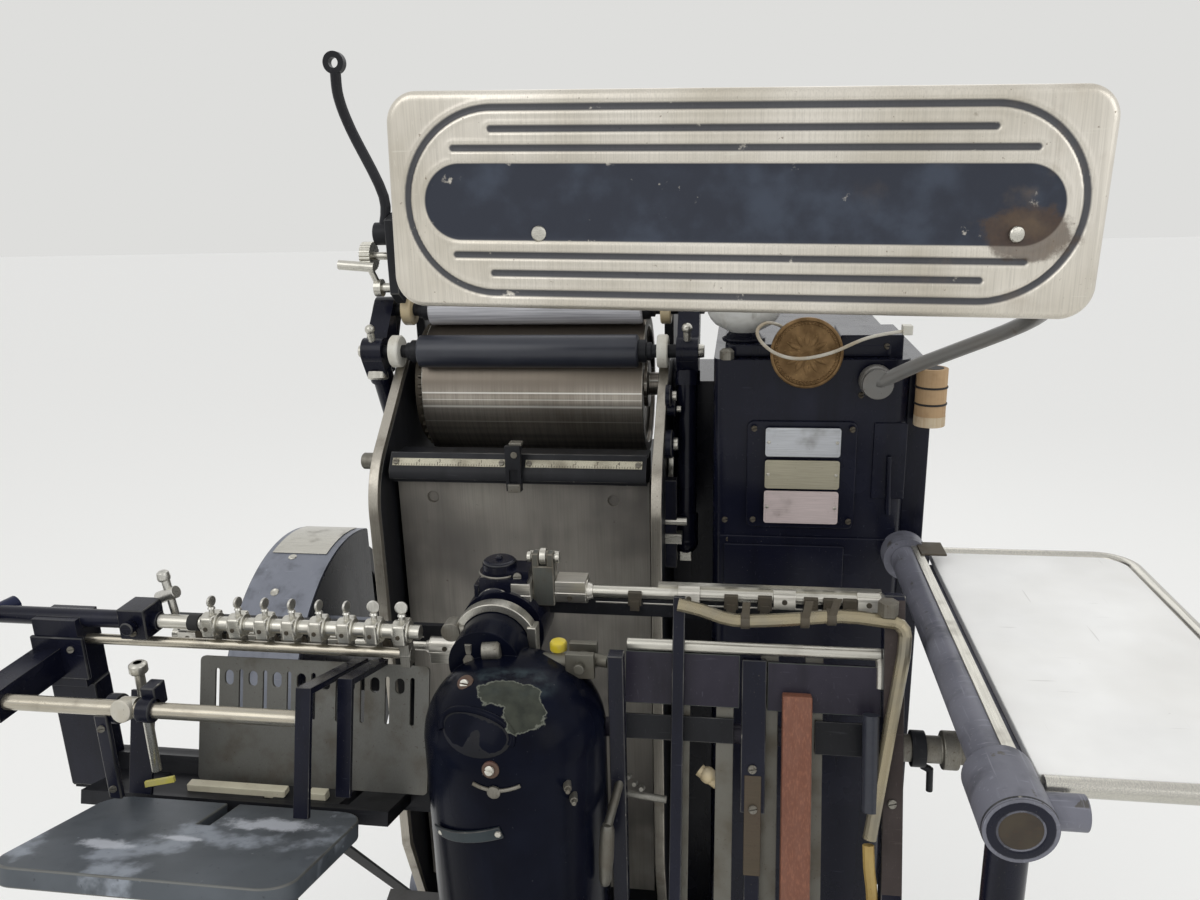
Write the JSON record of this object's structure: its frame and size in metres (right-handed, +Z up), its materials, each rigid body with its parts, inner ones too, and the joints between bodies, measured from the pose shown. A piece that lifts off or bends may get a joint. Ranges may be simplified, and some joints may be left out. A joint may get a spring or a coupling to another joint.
{
  "type": "platen printing press",
  "caption": "Automatic platen printing press with rotating gripper arms, ink drum, gear cabinet, feed and delivery tables and a swinging guard plate.",
  "frame": {"origin": "on the floor under the middle of the type bed", "axes": "+Z up, +X to the operator's right, +Y away from the operator"},
  "size_m": [1.196, 1.0828, 1.646],
  "materials": {
    "black_iron": "worn gloss black paint on cast iron",
    "cabinet_black": "gloss black enamel with blue tint, oily",
    "bed_iron": "bare machined iron, stained",
    "grey_iron": "bare and oily iron",
    "bright_steel": "bright worn steel",
    "drum_steel": "turned steel with fine rings",
    "gear_steel": "oily gear steel",
    "worn_steel": "worn plated sheet",
    "grey_zinc": "dull zinc sheet",
    "roller_rubber": "smooth black roller rubber",
    "hose_rubber": "aged yellow hose",
    "belt_rubber": "flat belt",
    "white_nylon": "ink-specked white nylon",
    "cream_nylon": "yellowed nylon",
    "white_enamel": "white enamel, chipped",
    "bronze": "dark tarnished bronze",
    "nickel_sheet": "warm nickel plate with rust",
    "grey_tube": "grey painted tube",
    "brown_wood": "red-brown painted batten",
    "white_board": "white coated board",
    "chrome_tube": "chromed tube",
    "blue_grey_paint": "blue-grey enamel",
    "kraft_tube": "tan card tube"
  },
  "bodies": {
    "press": {"base_frame": "black_iron", "main_body": "black_iron", "bed_plate": "bed_iron", "left_side_frame": "grey_iron", "right_side_frame": "grey_iron", "roller_tracks": "bright_steel", "chase_clamp_bar": "black_iron", "chase_clamp_lug": "black_iron", "left_roller_arm": "black_iron", "right_roller_arm": "black_iron", "ink_frames": "black_iron", "ink_fountain": "grey_iron", "rider_rollers": "roller_rubber", "gear_cabinet": "cabinet_black", "cabinet_door": "cabinet_black", "cabinet_cap": "cabinet_black", "cabinet_side_panel": "cabinet_black", "oil_cup": "white_enamel", "medallion": "bronze", "gripper_housing": "cabinet_black", "platen": "grey_iron", "delivery_slats": "grey_zinc", "delivery_plates": "black_iron", "delivery_posts": "black_iron", "wood_batten": "brown_wood", "delivery_rod": "bright_steel", "air_tube": "grey_tube", "air_hose": "hose_rubber", "delivery_table": "grey_iron", "table_bar": "black_iron", "lay_table": "white_board", "table_rail": "chrome_tube", "table_leg": "black_iron", "cross_shaft": "grey_iron", "feed_column": "black_iron", "feed_stop_plate": "worn_steel", "feed_side_guides": "black_iron", "sucker_bar": "bright_steel", "sucker_bracket": "black_iron", "flywheel": "grey_iron", "flywheel_guard": "blue_grey_paint", "motor": "blue_grey_paint", "drive_belt": "belt_rubber", "cord_tube": "kraft_tube"},
    "ink_cylinder": {"ink_drum": "drum_steel", "drum_gear": "gear_steel"},
    "lower_roller": {"lower_form_roller": "roller_rubber", "lower_trucks": "white_nylon"},
    "upper_roller": {"upper_form_roller": "drum_steel", "upper_trucks": "cream_nylon"},
    "gripper_rotor": {"gripper_hub": "black_iron", "gripper_arms": "bright_steel", "gripper_bars": "black_iron"},
    "guard": {"guard_plate": "nickel_sheet", "guard_arm": "grey_tube"},
    "ink_knob": {"fountain_knob": "bright_steel"},
    "ink_crank": {"fountain_crank": "bright_steel"},
    "lever": {"throw_off_lever": "black_iron"},
    "feed_pile": {"feed_table": "grey_iron"}
  },
  "joints": [
    {"name": "drum_spin", "type": "hinge", "parent": "press", "child": "ink_cylinder", "pos_m": [0, 0.26, 1.23], "axis": [1, 0, 0], "continuous": true},
    {"name": "lower_roller_spin", "type": "hinge", "parent": "press", "child": "lower_roller", "pos_m": [0, 0.16741, 1.29013], "axis": [1, 0, 0], "continuous": true},
    {"name": "upper_roller_spin", "type": "hinge", "parent": "press", "child": "upper_roller", "pos_m": [0, 0.22406, 1.33438], "axis": [1, 0, 0], "continuous": true},
    {"name": "gripper_spin", "type": "hinge", "parent": "press", "child": "gripper_rotor", "pos_m": [0.03, -0.106, 1.066], "axis": [0, 1, 0], "continuous": true},
    {"name": "guard_swing", "type": "hinge", "parent": "press", "child": "guard", "pos_m": [0.4, 0.06, 1.279], "axis": [0, 1, 0], "range_deg": [0, 75]},
    {"name": "knob_turn", "type": "hinge", "parent": "press", "child": "ink_knob", "pos_m": [-0.18, 0.215, 1.404], "axis": [1, 0, 0], "continuous": true},
    {"name": "crank_turn", "type": "hinge", "parent": "press", "child": "ink_crank", "pos_m": [-0.18, 0.196, 1.366], "axis": [1, 0, 0], "range_deg": [0, 100]},
    {"name": "throw_off", "type": "hinge", "parent": "press", "child": "lever", "pos_m": [-0.18, 0.205, 1.432], "axis": [1, 0, 0], "range_deg": [-25, 20]},
    {"name": "feed_lift", "type": "slide", "parent": "press", "child": "feed_pile", "axis": [0, 0.2924, 0.9563], "range_m": [-0.3, 0]}
  ],
  "couplings": [
    {"joint": "lower_roller_spin", "follows": "drum_spin", "ratio": -4.5},
    {"joint": "upper_roller_spin", "follows": "drum_spin", "ratio": -4.5}
  ]
}
